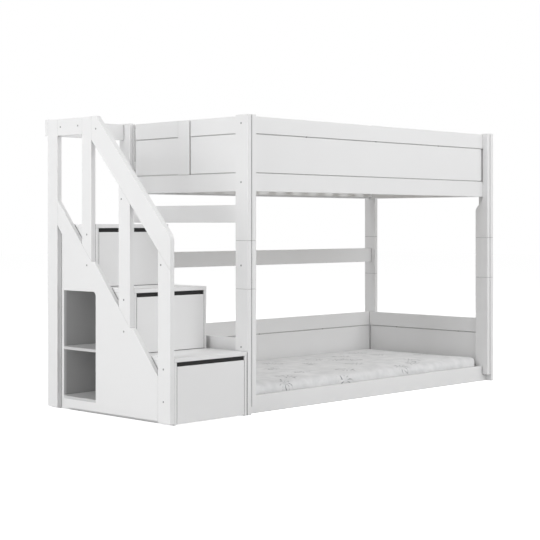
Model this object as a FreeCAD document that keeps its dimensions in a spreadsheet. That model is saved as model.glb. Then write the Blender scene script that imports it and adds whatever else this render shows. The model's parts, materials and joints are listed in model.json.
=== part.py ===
import FreeCAD, Part
import math
import os
import Sketcher
from FreeCAD import Rotation, Vector

# Bunk bed with storage stairs, in millimetres.
# The pieces are laid out in the bed's own coordinates: X runs from the outer face of the left
# end posts to the right end, Y from the front face of the front posts to the back, Z up from
# the floor. place() then moves everything so that the origin is the bottom centre of the whole.

document = FreeCAD.newDocument("bunk_bed_with_stairs")
sheet = document.addObject("Spreadsheet::Sheet", "Sizes")
sub_parts = []
caps = []


class Size:
    """A length: its number and the sheet expression that gives it."""

    def __init__(self, value, text):
        self.value = float(value)
        self.text = text

    def __add__(self, other):
        other = as_size(other)
        return Size(self.value + other.value, f"({self.text} + {other.text})")

    def __sub__(self, other):
        other = as_size(other)
        return Size(self.value - other.value, f"({self.text} - {other.text})")

    def __rsub__(self, other):
        return as_size(other) - self

    def __mul__(self, other):
        other = as_size(other)
        return Size(self.value * other.value, f"({self.text} * {other.text})")

    def __truediv__(self, other):
        other = as_size(other)
        return Size(self.value / other.value, f"({self.text} / {other.text})")

    __radd__ = __add__
    __rmul__ = __mul__


def as_size(number):
    return number if isinstance(number, Size) else Size(number, str(number))


def named(alias, value):
    """Write one named value into the sheet."""
    row = len(named.rows) + 1
    named.rows.append(alias)
    sheet.set(f"A{row}", alias)
    sheet.set(f"B{row}", str(value))
    sheet.setAlias(f"B{row}", alias)
    return Size(value, f"Sizes.{alias}")


named.rows = []
ZERO = as_size(0)

# Overall
bed_length = named("bed_length", 2130)
bed_width = named("bed_width", 1015)
bed_height = named("bed_height", 1520)
stair_reach = named("stair_reach", 518)

# Posts
post_width = named("post_width", 90)
front_post_thick = named("front_post_thick", 60)
outer_layer = named("outer_layer", 24)
post_stand = named("post_stand", 5)
upper_seam_drop = named("upper_seam_drop", 251)
middle_block_height = named("middle_block_height", 245)
rebate_depth = named("rebate_depth", 36)
shoulder_height = named("shoulder_height", 99)
foot_notch_play = named("foot_notch_play", 3)
groove_width = named("groove_width", 8)
groove_depth = named("groove_depth", 5)
groove_from_side = named("groove_from_side", 27)

# Boards, guards and bunk bases
board = named("board", 21)
end_board = named("end_board", 22)
ease_radius = named("ease_radius", 2)
panel_thick = named("panel_thick", 18)
tongue_thick = named("tongue_thick", 9)
shadow_gap = named("shadow_gap", 4.5)
panel_end_gap = named("panel_end_gap", 10)
guard_rail_height = named("guard_rail_height", 92)
guard_panel_height = named("guard_panel_height", 204)
guard_top_height = named("guard_top_height", 87)
lower_rail_height = named("lower_rail_height", 90)
lower_rail_tongue = named("lower_rail_tongue", 38)
lower_rail_relief = named("lower_rail_relief", 12)
mid_rail_height = named("mid_rail_height", 90)
rear_mid_rail_rise = named("rear_mid_rail_rise", 78)
end_mid_rail_drop = named("end_mid_rail_drop", 70)
bearer_width = named("bearer_width", 22)
bearer_height = named("bearer_height", 22)
upper_bearer_rise = named("upper_bearer_rise", 10)
slat_thick = named("slat_thick", 18)
slat_width = named("slat_width", 70)
slat_pitch = named("slat_pitch", 148)
slat_end_play = named("slat_end_play", 1)
pin_radius = named("pin_radius", 2.2)
pin_end_inset = named("pin_end_inset", 454)
pin_far_inset = named("pin_far_inset", 479)
end_pin_inset = named("end_pin_inset", 143)
end_pin_far_inset = named("end_pin_far_inset", 228)

# Mattress of the lower bunk
mattress_end_play = named("mattress_end_play", 19)
mattress_side_play = named("mattress_side_play", 1)
mattress_height = named("mattress_height", 116)
mattress_crown = named("mattress_crown", 6)
mattress_corner = named("mattress_corner", 70)
mattress_edge = named("mattress_edge", 26)
mattress_bulge = named("mattress_bulge", 5)
soft_clearance = named("soft_clearance", 0.3)

# Entry gate at the head of the stairs
gate_opening = named("gate_opening", 464)
gate_gap = named("gate_gap", 10)
gate_stile = named("gate_stile", 90)
gate_foot_gap = named("gate_foot_gap", 2)
jamb_margin = named("jamb_margin", 6)
hinge_gap = named("hinge_gap", 14)
hinge_radius = named("hinge_radius", 3.5)
hinge_pin_radius = named("hinge_pin_radius", 1.5)
hinge_pin_play = named("hinge_pin_play", 0.05)
hinge_knuckle = named("hinge_knuckle", 25)
hinge_axial_play = named("hinge_axial_play", 0.4)
hinge_plate = named("hinge_plate", 2)
hinge_end_inset = named("hinge_end_inset", 30)

# Stairs
step_front = named("step_front", 4)
landing_depth = named("landing_depth", 374)
landing_drop = named("landing_drop", 167.8)
tread_thick = named("tread_thick", 20)
cheek = named("cheek", 16)
unit_gap = named("unit_gap", 3)
stair_back_inset = named("stair_back_inset", 40)
back_panel = named("back_panel", 16)
partition_lap = named("partition_lap", 53)
stair_board = named("stair_board", 28)
stringer_thick = named("stringer_thick", 23)
stair_top_drop = named("stair_top_drop", 3)
post_foot_gap = named("post_foot_gap", 7)
stringer_foot_gap = named("stringer_foot_gap", 15)
newel_width = named("newel_width", 89)
baluster_width = named("baluster_width", 87)
landing_post_setback = named("landing_post_setback", 6)
landing_post_width = named("landing_post_width", 77)
rear_post_width = named("rear_post_width", 84)
handrail_level = named("handrail_level", 39.25)
handrail_height = named("handrail_height", 163)
handrail_nose_radius = named("handrail_nose_radius", 60)
side_board_height = named("side_board_height", 87)
guard_board_height = named("guard_board_height", 86)
guard_board_thick = named("guard_board_thick", 24)
stringer_drop = named("stringer_drop", 190)
stringer_shoulder = named("stringer_shoulder", 23)
nose_drop = named("nose_drop", 90.4)
ear_rise = named("ear_rise", 126.8)
ear_foot_drop = named("ear_foot_drop", 4.2)
ear_root_drop = named("ear_root_drop", 76)
ear_corner = named("ear_corner", 60)
stringer_rear_gap = named("stringer_rear_gap", 57)
stringer_corner = named("stringer_corner", 12)

# Shelf bay
bay_front_margin = named("bay_front_margin", 24)
bay_wall_gap = named("bay_wall_gap", 20)
bay_sill_setback = named("bay_sill_setback", 12)
bay_foot = named("bay_foot", 60)
bay_corner = named("bay_corner", 22)
shelf_thick = named("shelf_thick", 14)
middle_shelf_drop = named("middle_shelf_drop", 6.4)
shelf_recess = named("shelf_recess", 2)

# Drawers
front_gap = named("front_gap", 2)
drawer_front_thick = named("drawer_front_thick", 16)
drawer_foot_gap = named("drawer_foot_gap", 5)
grip_height = named("grip_height", 21)
grip_thick = named("grip_thick", 8)
grip_setback = named("grip_setback", 8)
grip_play = named("grip_play", 1.5)
runner_thick = named("runner_thick", 13)
runner_height = named("runner_height", 42)
runner_play = named("runner_play", 0.5)
runner_rise = named("runner_rise", 60)
drawer_side = named("drawer_side", 12)
drawer_bottom = named("drawer_bottom", 8)
drawer_lift = named("drawer_lift", 14)
drawer_rim_gap = named("drawer_rim_gap", 47)
drawer_back_gap = named("drawer_back_gap", 8)

# Bolt caps
cap_radius = named("cap_radius", 4.5)
cap_play = named("cap_play", 0.5)
cap_pocket = named("cap_pocket", 4)
cap_sink = named("cap_sink", 0.8)

# How far the caps stand from the edges they are measured from
post_cap_inset = named("post_cap_inset", 49.5)
post_cap_drop = named("post_cap_drop", 44)
rail_cap_rise = named("rail_cap_rise", 45)
block_cap_rise = named("block_cap_rise", 119)
guard_cap_drop = named("guard_cap_drop", 41)
newel_head_cap_inset = named("newel_head_cap_inset", 21)
newel_head_cap_rise = named("newel_head_cap_rise", 26)
newel_cap_inset = named("newel_cap_inset", 40)
newel_cap_high = named("newel_cap_high", 268)
newel_cap_low = named("newel_cap_low", 112)
baluster_head_cap_inset = named("baluster_head_cap_inset", 66)
baluster_head_cap_rise = named("baluster_head_cap_rise", 25)
baluster_cap_inset = named("baluster_cap_inset", 47)
landing_cap_inset = named("landing_cap_inset", 37)
shoulder_cap_rise = named("shoulder_cap_rise", 137)
shoulder_cap_drop = named("shoulder_cap_drop", 20)
handrail_cap_inset = named("handrail_cap_inset", 36)
handrail_cap_drop = named("handrail_cap_drop", 65)
side_board_cap_front = named("side_board_cap_front", 35)
side_board_cap_rear = named("side_board_cap_rear", 25)
side_board_cap_drop = named("side_board_cap_drop", 42)

document.recompute()

# Places worked out from the sizes
centre_x = (bed_length - stair_reach) / 2
centre_y = bed_width / 2
inner_left = front_post_thick
inner_right = bed_length - front_post_thick
board_left = outer_layer
board_right = bed_length - outer_layer
front_inner = rebate_depth + board
rear_inner = bed_width - rebate_depth - board
rear_outer = bed_width - rebate_depth
end_left_inner = outer_layer + end_board
end_right_inner = board_right - end_board
rear_post_front = bed_width - post_width
upper_guard_top = bed_height - post_stand
upper_panel_top = upper_guard_top - guard_top_height
upper_rail_top = upper_panel_top - guard_panel_height
upper_guard_base = upper_rail_top - guard_rail_height
upper_seam = upper_guard_base - upper_seam_drop
lower_seam = upper_seam - middle_block_height
foot_notch = lower_rail_tongue + foot_notch_play
rear_mid_rail_base = lower_seam + rear_mid_rail_rise
end_mid_rail_base = upper_guard_base - end_mid_rail_drop - mid_rail_height
upper_bearer_base = upper_guard_base + upper_bearer_rise
jamb_face = rear_post_front - jamb_margin
gate_edge = jamb_face - hinge_gap
fixed_guard_end = jamb_face - gate_opening
mattress_length = end_right_inner - end_left_inner - mattress_end_play * 2
mattress_width = rear_inner - front_inner - mattress_side_play * 2
lower_panel_top = guard_rail_height + guard_panel_height
lower_guard_top = lower_panel_top + guard_top_height
stair_face = 0 - stair_reach
unit_left = stair_face + stair_board
unit_right = 0 - unit_gap
cheek_left = unit_left + cheek
cheek_right = unit_right - cheek
stair_back = bed_width - stair_back_inset
stair_top = upper_guard_top - stair_top_drop
step_going = (stair_back - step_front - landing_depth) / 2
step_rise = (upper_guard_base - landing_drop) / 3
rake = step_rise / step_going
rear_post_edge = stair_back - rear_post_width
landing_post_edge = step_front + step_going * 2 + landing_post_setback
handrail_foot = stair_top - handrail_height - (landing_post_edge - handrail_level - step_front) * rake
stringer_rear = rear_post_edge - stringer_rear_gap
partition_face = step_front + step_going * 2 - partition_lap
bay_front = partition_face + bay_front_margin
bay_wall = rear_post_edge - bay_wall_gap


def place(thing, corner):
    """Set a piece's corner, given in the bed's coordinates, in the model's frame."""
    x, y, z = corner
    thing.setExpression("Placement.Base.x", (x - centre_x).text)
    thing.setExpression("Placement.Base.y", (y - centre_y).text)
    thing.setExpression("Placement.Base.z", as_size(z).text)


def sub_part(thing, name):
    """Register an object as one of the exported sub-parts."""
    thing.Label = name
    sub_parts.append(thing)
    return thing


def new_body(name, corner):
    body = document.addObject("PartDesign::Body", name)
    body.Label = name
    place(body, corner)
    return body


def body_box(body, kind, low, high):
    """An additive or subtractive box between two corners in the body's own frame."""
    feature = body.newObject("PartDesign::" + kind, kind)
    for field, axis, start, end in zip(("Length", "Width", "Height"), "xyz", low, high):
        start = as_size(start)
        feature.setExpression(field, (as_size(end) - start).text)
        feature.setExpression(f"Placement.Base.{axis}", start.text)
    return feature


def ease_box(body, feature):
    """Round all twelve edges of a plain box."""
    fillet = body.newObject("PartDesign::Fillet", "Eased")
    fillet.Base = (feature, [f"Edge{number}" for number in range(1, 13)])
    fillet.setExpression("Radius", ease_radius.text)
    return fillet


def board_body(name, low, high):
    """A rectangular board with eased edges."""
    low = [as_size(value) for value in low]
    high = [as_size(value) for value in high]
    body = new_body(name, low)
    span = [end - start for start, end in zip(low, high)]
    ease_box(body, body_box(body, "AdditiveBox", (ZERO, ZERO, ZERO), span))
    return body


def panel_body(name, low, high, across):
    """A guard panel: a field with a shadow gap above and below, carried by a thinner tongue."""
    low = [as_size(value) for value in low]
    high = [as_size(value) for value in high]
    body = new_body(name, low)
    span = [end - start for start, end in zip(low, high)]
    field_low = [ZERO, ZERO, shadow_gap]
    field_high = [span[0], span[1], span[2] - shadow_gap]
    field_low[across] = (span[across] - panel_thick) / 2
    field_high[across] = (span[across] + panel_thick) / 2
    ease_box(body, body_box(body, "AdditiveBox", field_low, field_high))
    tongue_low = [ease_radius, ease_radius, ZERO]
    tongue_high = [span[0] - ease_radius, span[1] - ease_radius, span[2]]
    tongue_low[across] = (span[across] - tongue_thick) / 2
    tongue_high[across] = (span[across] + tongue_thick) / 2
    body_box(body, "AdditiveBox", tongue_low, tongue_high)
    return body


def origin_plane(body, role):
    return next(plane for plane in body.Origin.OriginFeatures if plane.Role == role)


def pin_point(sketch, geometry, position, u, v):
    """Tie a sketch point to its two coordinates."""
    for axis, kind, value in ((-2, "DistanceX", u), (-1, "DistanceY", v)):
        if value.value == 0:
            sketch.addConstraint(Sketcher.Constraint("PointOnObject", geometry, position, axis))
        else:
            index = sketch.addConstraint(
                Sketcher.Constraint(kind, -1, 1, geometry, position, value.value))
            sketch.setExpression(f"Constraints[{index}]", value.text)


def outline(body, role, corners, offset=None):
    """A closed outline through corners (u, v), or (u, v, radius, centre) where an arc starts."""
    sketch = body.newObject("Sketcher::SketchObject", "Outline")
    sketch.AttachmentSupport = (origin_plane(body, role), [""])
    sketch.MapMode = "FlatFace"
    if offset is not None:
        sketch.setExpression("AttachmentOffset.Base.z", offset.text)
    corners = [tuple(as_size(value) for value in corner[:2]) + tuple(corner[2:]) for corner in corners]
    points = [Vector(corner[0].value, corner[1].value, 0) for corner in corners]
    count = len(corners)
    for number, corner in enumerate(corners):
        start = points[number]
        end = points[(number + 1) % count]
        if len(corner) == 2:
            sketch.addGeometry(Part.LineSegment(start, end))
        else:
            middle = arc_middle(start, end, corner[2].value, corner[3])
            sketch.addGeometry(Part.Arc(start, middle, end))
    for number, corner in enumerate(corners):
        first = arc_start_position(sketch, number, points[number])
        previous = (number - 1) % count
        last = 3 - arc_start_position(sketch, previous, points[previous])
        sketch.addConstraint(Sketcher.Constraint("Coincident", previous, last, number, first))
        pin_point(sketch, number, first, corner[0], corner[1])
        if len(corner) > 2:
            index = sketch.addConstraint(Sketcher.Constraint("Radius", number, corner[2].value))
            sketch.setExpression(f"Constraints[{index}]", corner[2].text)
    return sketch


def arc_middle(start, end, radius, centre):
    """The point halfway along the arc from start to end about a centre."""
    centre = Vector(centre[0].value, centre[1].value, 0)
    chord_middle = (start + end) * 0.5
    outward = chord_middle - centre
    outward.normalize()
    return centre + outward * radius


def arc_start_position(sketch, number, start):
    """1 or 2: which end of a sketch edge lies at the given point (arcs run anticlockwise)."""
    return 1 if sketch.getPoint(number, 1).distanceToPoint(start) < 1e-6 else 2


def pad(body, sketch, length, backwards=False):
    feature = body.newObject("PartDesign::Pad", "Pad")
    feature.Profile = sketch
    feature.setExpression("Length", length.text)
    feature.Reversed = backwards
    return feature


def pocket(body, sketch, depth, backwards=True):
    """Cut an outline into a body. A cut that removes nothing is an error."""
    document.recompute()
    before = body.Shape.Volume
    feature = body.newObject("PartDesign::Pocket", "Pocket")
    feature.Profile = sketch
    feature.setExpression("Length", depth.text)
    feature.Reversed = backwards
    document.recompute()
    if body.Shape.Volume > before - 1:
        raise RuntimeError(f"the pocket in {body.Label} cuts nothing")
    return feature


def edges_at(feature, axis, places):
    """Names of the straight edges along an axis that pass through the given places."""
    document.recompute()
    others = [number for number in range(3) if number != axis]
    names = []
    for number, edge in enumerate(feature.Shape.Edges, 1):
        ends = [vertex.Point for vertex in edge.Vertexes]
        if len(ends) < 2 or (ends[0] - ends[1]).cross(axis_vector(axis)).Length > 1e-6:
            continue
        for spot in places:
            if all(abs(ends[0][other] - value.value) < 1e-3 for other, value in zip(others, spot)):
                names.append(f"Edge{number}")
    return names


def axis_vector(axis):
    return Vector(*[1 if number == axis else 0 for number in range(3)])


def round_corners(body, feature, axis, places, radius):
    """Round the corners of a padded outline that stand at the given places."""
    names = edges_at(feature, axis, places)
    if len(names) != len(places):
        raise RuntimeError(f"{body.Label}: {len(names)} corners found of {len(places)}")
    fillet = body.newObject("PartDesign::Fillet", "RoundedCorners")
    fillet.Base = (feature, names)
    fillet.setExpression("Radius", radius.text)
    return fillet


def ease_faces(body, feature, axis):
    """Round the edges that bound the two flat faces square to an axis."""
    document.recompute()
    names = []
    for number, edge in enumerate(feature.Shape.Edges, 1):
        box = edge.BoundBox
        if (box.XLength, box.YLength, box.ZLength)[axis] < 1e-5:
            names.append(f"Edge{number}")
    fillet = body.newObject("PartDesign::Fillet", "Eased")
    fillet.Base = (feature, names)
    fillet.setExpression("Radius", ease_radius.text)
    return fillet


def cap_pockets(body, corner, spots):
    """Round pockets for bolt caps in a body's outer (-X) face; spots are (y, z)."""
    sketch = body.newObject("Sketcher::SketchObject", "CapPockets")
    sketch.AttachmentSupport = (origin_plane(body, "YZ_Plane"), [""])
    sketch.MapMode = "FlatFace"
    radius = cap_radius + cap_play
    for number, (y, z) in enumerate(spots):
        u = y - corner[1]
        v = z - corner[2]
        sketch.addGeometry(Part.Circle(Vector(u.value, v.value, 0), Vector(0, 0, 1), radius.value))
        pin_point(sketch, number, 3, u, v)
        index = sketch.addConstraint(Sketcher.Constraint("Radius", number, radius.value))
        sketch.setExpression(f"Constraints[{index}]", radius.text)
    pocket(body, sketch, cap_pocket)
    caps.extend((corner[0], y, z) for y, z in spots)


def block(name, low, high):
    """A plain rectangular piece of a group."""
    box = document.addObject("Part::Box", name)
    for field, start, end in zip(("Length", "Width", "Height"), low, high):
        box.setExpression(field, (as_size(end) - as_size(start)).text)
    place(box, [as_size(value) for value in low])
    return box


def upright_cylinder(name, x, y, z, radius, height):
    cylinder = document.addObject("Part::Cylinder", name)
    cylinder.setExpression("Radius", radius.text)
    cylinder.setExpression("Height", height.text)
    place(cylinder, (x, y, z))
    return cylinder


def group(name, members):
    """One sub-part made of several separate solids."""
    compound = document.addObject("Part::Compound", name)
    compound.Links = members
    return sub_part(compound, name)


# Posts ---------------------------------------------------------------------------------------

def front_post(name, x, base, top, inner_low, inner_high):
    """A length of front post: a block with a shallow groove down its front face."""
    corner = (x, ZERO, base)
    body = new_body(name, corner)
    height = top - base
    solid = body_box(body, "AdditiveBox", (ZERO, ZERO, ZERO), (front_post_thick, post_width, height))
    ease_box(body, solid)
    groove_base = foot_notch if base.value == 0 else ZERO
    body_box(body, "SubtractiveBox", (groove_from_side - groove_width / 2, ZERO, groove_base),
             (groove_from_side + groove_width / 2, groove_depth, height))
    if base.value == 0:
        body_box(body, "SubtractiveBox", (inner_low, ZERO, ZERO), (inner_high, post_width, foot_notch))
    if top.value == bed_height.value:
        rebate(body, inner_low, inner_high, base)
    return body, corner


def rebate(body, inner_low, inner_high, base):
    """Clear the inner layer behind the rebate for the guard, below it an S-shaped shoulder."""
    run = post_width - rebate_depth
    radius = (run * run + shoulder_height * shoulder_height) / (run * 4)
    finish = upper_guard_base - base
    start = finish - shoulder_height
    top = bed_height - base
    middle = (rebate_depth + run / 2, start + shoulder_height / 2)
    overrun = ease_radius
    corners = [
        (rebate_depth, finish),
        (rebate_depth, top + overrun),
        (post_width + overrun, top + overrun),
        (post_width + overrun, start),
        (post_width, start, radius, (post_width - radius, start)),
        (*middle, radius, (rebate_depth + radius, finish)),
    ]
    sketch = outline(body, "YZ_Plane", corners, inner_low)
    pocket(body, sketch, inner_high - inner_low)


def rear_post(name, x, base, top):
    corner = (x, rear_post_front, base)
    body = board_body(name, corner, (x + outer_layer, bed_width, top))
    return body, corner


post_cap_heights = {
    "lower": [lower_guard_top - guard_cap_drop],
    "middle": [lower_seam + block_cap_rise],
    "upper": [upper_guard_base + rail_cap_rise, bed_height - post_cap_drop],
}
middle_blocks = []
for side in ("left", "right"):
    left = side == "left"
    front_x = ZERO if left else inner_right
    rear_x = ZERO if left else board_right
    inner_low = outer_layer if left else ZERO
    inner_high = front_post_thick if left else front_post_thick - outer_layer
    stretches = (
        ("lower", ZERO, lower_seam),
        ("middle", lower_seam, upper_seam),
        ("upper", upper_seam, bed_height),
    )
    for part, base, top in stretches:
        front, corner = front_post(f"post_front_{side}_{part}", front_x, base, top,
                                   inner_low, inner_high)
        rear, _ = rear_post(f"post_rear_{side}_{part}", rear_x, base, top)
        if left:
            cap_pockets(front, corner, [(post_cap_inset, height) for height in post_cap_heights[part]])
        if part == "middle":
            middle_blocks += [front, rear]
        else:
            sub_part(front, front.Name)
            sub_part(rear, rear.Name)
group("post_middle_blocks", middle_blocks)


# Upper guards --------------------------------------------------------------------------------

sub_part(board_body("upper_front_rail", (board_left, rebate_depth, upper_guard_base),
                    (board_right, front_inner, upper_rail_top)), "upper_front_rail")
sub_part(panel_body("upper_front_panel", (inner_left + panel_end_gap, rebate_depth, upper_rail_top),
                    (inner_right - panel_end_gap, front_inner, upper_panel_top), 1), "upper_front_panel")
sub_part(board_body("upper_front_top_board", (board_left, rebate_depth, upper_panel_top),
                    (board_right, front_inner, upper_guard_top)), "upper_front_top_board")

sub_part(board_body("upper_rear_rail", (board_left, rear_inner, upper_guard_base),
                    (board_right, rear_outer, upper_rail_top)), "upper_rear_rail")
group("upper_rear_guard", [
    panel_body("upper_rear_panel", (board_left + panel_end_gap, rear_inner, upper_rail_top),
               (board_right - panel_end_gap, rear_outer, upper_panel_top), 1),
    board_body("upper_rear_top_board", (board_left, rear_inner, upper_panel_top),
               (board_right, rear_outer, upper_guard_top)),
])

sub_part(board_body("upper_right_rail", (end_right_inner, front_inner, upper_guard_base),
                    (board_right, rear_inner, upper_rail_top)), "upper_right_rail")
group("upper_right_guard", [
    panel_body("upper_right_panel", (end_right_inner, front_inner, upper_rail_top),
               (board_right, rear_inner, upper_panel_top), 0),
    board_body("upper_right_top_board", (end_right_inner, front_inner, upper_panel_top),
               (board_right, rear_inner, upper_guard_top)),
])

group("upper_left_rail", [
    board_body("upper_left_rail_board", (board_left, front_inner, upper_guard_base),
               (end_left_inner, rear_inner, upper_rail_top)),
    board_body("gate_jamb", (board_left, jamb_face, upper_rail_top),
               (end_left_inner, rear_inner, upper_guard_top)),
])
sub_part(panel_body("upper_left_panel", (board_left, front_inner, upper_rail_top),
                    (end_left_inner, fixed_guard_end, upper_panel_top), 0), "upper_left_panel")
sub_part(board_body("upper_left_top_board", (board_left, front_inner, upper_panel_top),
                    (end_left_inner, fixed_guard_end, upper_guard_top)), "upper_left_top_board")


# Entry gate ----------------------------------------------------------------------------------

gate_start = fixed_guard_end + gate_gap
gate_foot = upper_rail_top + gate_foot_gap
stile_end = gate_start + gate_stile
hinge_x = board_left + hinge_radius
hinge_y = (gate_edge + jamb_face) / 2
group("gate_frame", [
    board_body("gate_stile_board", (board_left, gate_start, gate_foot),
               (end_left_inner, stile_end, upper_guard_top)),
    board_body("gate_top_board", (board_left, stile_end, upper_panel_top),
               (end_left_inner, gate_edge, upper_guard_top)),
])
gate_panel = panel_body("gate_panel", (board_left, stile_end, gate_foot),
                        (end_left_inner, gate_edge, upper_panel_top), 0)
sub_part(gate_panel, "gate_panel")


def hinge_halves(name, base):
    """A pin hinge: the jamb's knuckle carries the pin, the gate's knuckle turns on it."""
    swing_base = base + hinge_knuckle + hinge_axial_play
    knuckle = upright_cylinder(f"{name}_knuckle", hinge_x, hinge_y, base, hinge_radius, hinge_knuckle)
    pin = upright_cylinder(f"{name}_pin", hinge_x, hinge_y, base, hinge_pin_radius,
                           hinge_knuckle * 2 + hinge_axial_play)
    plate_low = hinge_x - hinge_plate / 2
    plate_high = hinge_x + hinge_plate / 2
    plate = block(f"{name}_plate", (plate_low, hinge_y, base), (plate_high, jamb_face, base + hinge_knuckle))
    fixed = document.addObject("Part::MultiFuse", f"{name}_fixed")
    fixed.Shapes = [knuckle, pin, plate]
    turning_knuckle = upright_cylinder(f"{name}_turning_knuckle", hinge_x, hinge_y, swing_base,
                                       hinge_radius, hinge_knuckle)
    turning_plate = block(f"{name}_turning_plate", (plate_low, gate_edge, swing_base),
                          (plate_high, hinge_y, swing_base + hinge_knuckle))
    joined = document.addObject("Part::MultiFuse", f"{name}_joined")
    joined.Shapes = [turning_knuckle, turning_plate]
    bore = upright_cylinder(f"{name}_bore", hinge_x, hinge_y, swing_base,
                            hinge_pin_radius + hinge_pin_play, hinge_knuckle)
    moving = document.addObject("Part::Cut", f"{name}_moving")
    moving.Base = joined
    moving.Tool = bore
    return fixed, moving


hinge_span = hinge_knuckle * 2 + hinge_axial_play
lower_hinge = hinge_halves("lower_hinge", gate_foot + hinge_end_inset)
upper_hinge = hinge_halves("upper_hinge", upper_guard_top - ease_radius - hinge_end_inset - hinge_span)
group("gate_hinges_fixed", [lower_hinge[0], upper_hinge[0]])
group("gate_hinges_moving", [lower_hinge[1], upper_hinge[1]])


# Bunk bases ----------------------------------------------------------------------------------

def slats(name, base):
    """Slats across the bunk, evenly spaced about its middle."""
    run = end_right_inner - end_left_inner - slat_width
    count = int(run.value // slat_pitch.value) + 1
    margin = (run - slat_pitch * (count - 1)) / 2
    start = end_left_inner + margin
    members = []
    for number in range(count):
        x = start + slat_pitch * number
        members.append(block(f"{name}_{number + 1}", (x, front_inner + slat_end_play, base),
                             (x + slat_width, rear_inner - slat_end_play, base + slat_thick)))
    return group(name, members)


def bearers(name, base):
    """Two bearers along the inner faces of the front and rear rails."""
    return [
        block(f"{name}_front", (inner_left, front_inner, base),
              (inner_right, front_inner + bearer_width, base + bearer_height)),
        block(f"{name}_rear", (end_left_inner, rear_inner - bearer_width, base),
              (end_right_inner, rear_inner, base + bearer_height)),
    ]


slats("upper_slats", upper_bearer_base + bearer_height)
slats("lower_slats", bearer_height)
group("slat_bearers", bearers("upper_bearer", upper_bearer_base) + bearers("lower_bearer", ZERO))


# Lower bunk ----------------------------------------------------------------------------------

def lower_front_rail():
    """A floor-level rail whose two ends narrow to tongues that run under the inner layers."""
    corner = (board_left, rebate_depth, ZERO)
    body = new_body("lower_front_rail", corner)
    length = board_right - board_left
    step = front_post_thick - outer_layer + panel_end_gap
    corners = [
        (0, 0),
        (length, 0),
        (length, lower_rail_tongue),
        (length - step, lower_rail_tongue),
        (length - step, lower_rail_height),
        (step, lower_rail_height),
        (step, lower_rail_tongue),
        (0, lower_rail_tongue),
    ]
    solid = pad(body, outline(body, "XZ_Plane", corners), board, True)
    notches = [(length - step, lower_rail_tongue), (step, lower_rail_tongue)]
    rounded = round_corners(body, solid, 1, notches, lower_rail_relief)
    ease_faces(body, rounded, 1)
    return body


sub_part(lower_front_rail(), "lower_front_rail")


def lower_guard(name, low, high, across):
    """Rail, panel and top board of a low guard that stands on the floor."""
    start = [low[0], low[1]]
    end = [high[0], high[1]]
    panel_start = list(start)
    panel_end = list(end)
    along = 1 - across
    panel_start[along] = start[along] + panel_end_gap
    panel_end[along] = end[along] - panel_end_gap
    return group(name, [
        board_body(f"{name}_rail", (*start, ZERO), (*end, guard_rail_height)),
        panel_body(f"{name}_panel", (*panel_start, guard_rail_height),
                   (*panel_end, lower_panel_top), across),
        board_body(f"{name}_top_board", (*start, lower_panel_top), (*end, lower_guard_top)),
    ])


lower_guard("lower_rear_guard", (board_left, rear_inner), (board_right, rear_outer), 1)
lower_guard("lower_right_guard", (end_right_inner, post_width), (board_right, rear_inner), 0)
lower_guard("lower_left_guard", (board_left, post_width), (end_left_inner, rear_inner), 0)

sub_part(board_body("rear_mid_rail", (board_left, rear_inner, rear_mid_rail_base),
                    (board_right, rear_outer, rear_mid_rail_base + mid_rail_height)), "rear_mid_rail")
sub_part(board_body("left_end_mid_rail", (board_left, post_width, end_mid_rail_base),
                    (end_left_inner, rear_inner, end_mid_rail_base + mid_rail_height)), "left_end_mid_rail")


def pillow_profile(span, height, crown, edge, bulge):
    """A mattress cross-section: flat foot, sides that swell, rounded edges and a crowned top."""
    side_low = edge
    side_high = height - crown - edge
    middle = (side_low + side_high) / 2
    slant = edge * (1 - math.sqrt(0.5))
    left = bulge
    right = span - bulge
    shoulder = height - crown
    edges = [
        Part.LineSegment(Vector(left + edge, 0, 0), Vector(right - edge, 0, 0)),
        Part.Arc(Vector(right - edge, 0, 0), Vector(right - slant, slant, 0), Vector(right, side_low, 0)),
        Part.Arc(Vector(right, side_low, 0), Vector(span, middle, 0), Vector(right, side_high, 0)),
        Part.Arc(Vector(right, side_high, 0), Vector(right - slant, shoulder - slant, 0),
                 Vector(right - edge, shoulder, 0)),
        Part.Arc(Vector(right - edge, shoulder, 0), Vector(span / 2, height, 0),
                 Vector(left + edge, shoulder, 0)),
        Part.Arc(Vector(left + edge, shoulder, 0), Vector(left + slant, shoulder - slant, 0),
                 Vector(left, side_high, 0)),
        Part.Arc(Vector(left, side_high, 0), Vector(0, middle, 0), Vector(left, side_low, 0)),
        Part.Arc(Vector(left, side_low, 0), Vector(left + slant, slant, 0), Vector(left + edge, 0, 0)),
    ]
    return Part.Face(Part.Wire([edge_curve.toShape() for edge_curve in edges]))


def mattress_shape():
    """The space that the lengthways, crossways and plan sections of the mattress share."""
    length = mattress_length.value
    width = mattress_width.value
    height = mattress_height.value
    shape_sizes = (height, mattress_crown.value, mattress_edge.value, mattress_bulge.value)
    lengthways = pillow_profile(length, *shape_sizes)
    lengthways.rotate(Vector(0, 0, 0), Vector(1, 0, 0), 90)
    lengthways = lengthways.extrude(Vector(0, width, 0))
    crossways = pillow_profile(width, *shape_sizes)
    crossways.rotate(Vector(0, 0, 0), Vector(1, 1, 1), 120)
    crossways = crossways.extrude(Vector(length, 0, 0))
    margin = mattress_bulge.value
    plan = Part.makeBox(length + margin * 2, width + margin * 2, height, Vector(-margin, -margin, 0))
    uprights = [edge for edge in plan.Edges if abs(edge.Vertexes[0].Z - edge.Vertexes[1].Z) > 1]
    plan = plan.makeFillet(mattress_corner.value, uprights)
    return lengthways.common(crossways).common(plan)


mattress = document.addObject("Part::Feature", "lower_mattress")
mattress.Shape = mattress_shape()
place(mattress, ((bed_length - mattress_length) / 2, (bed_width - mattress_width) / 2,
                 bearer_height + slat_thick + soft_clearance))
sub_part(mattress, "lower_mattress")


# Storage stairs ------------------------------------------------------------------------------

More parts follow.
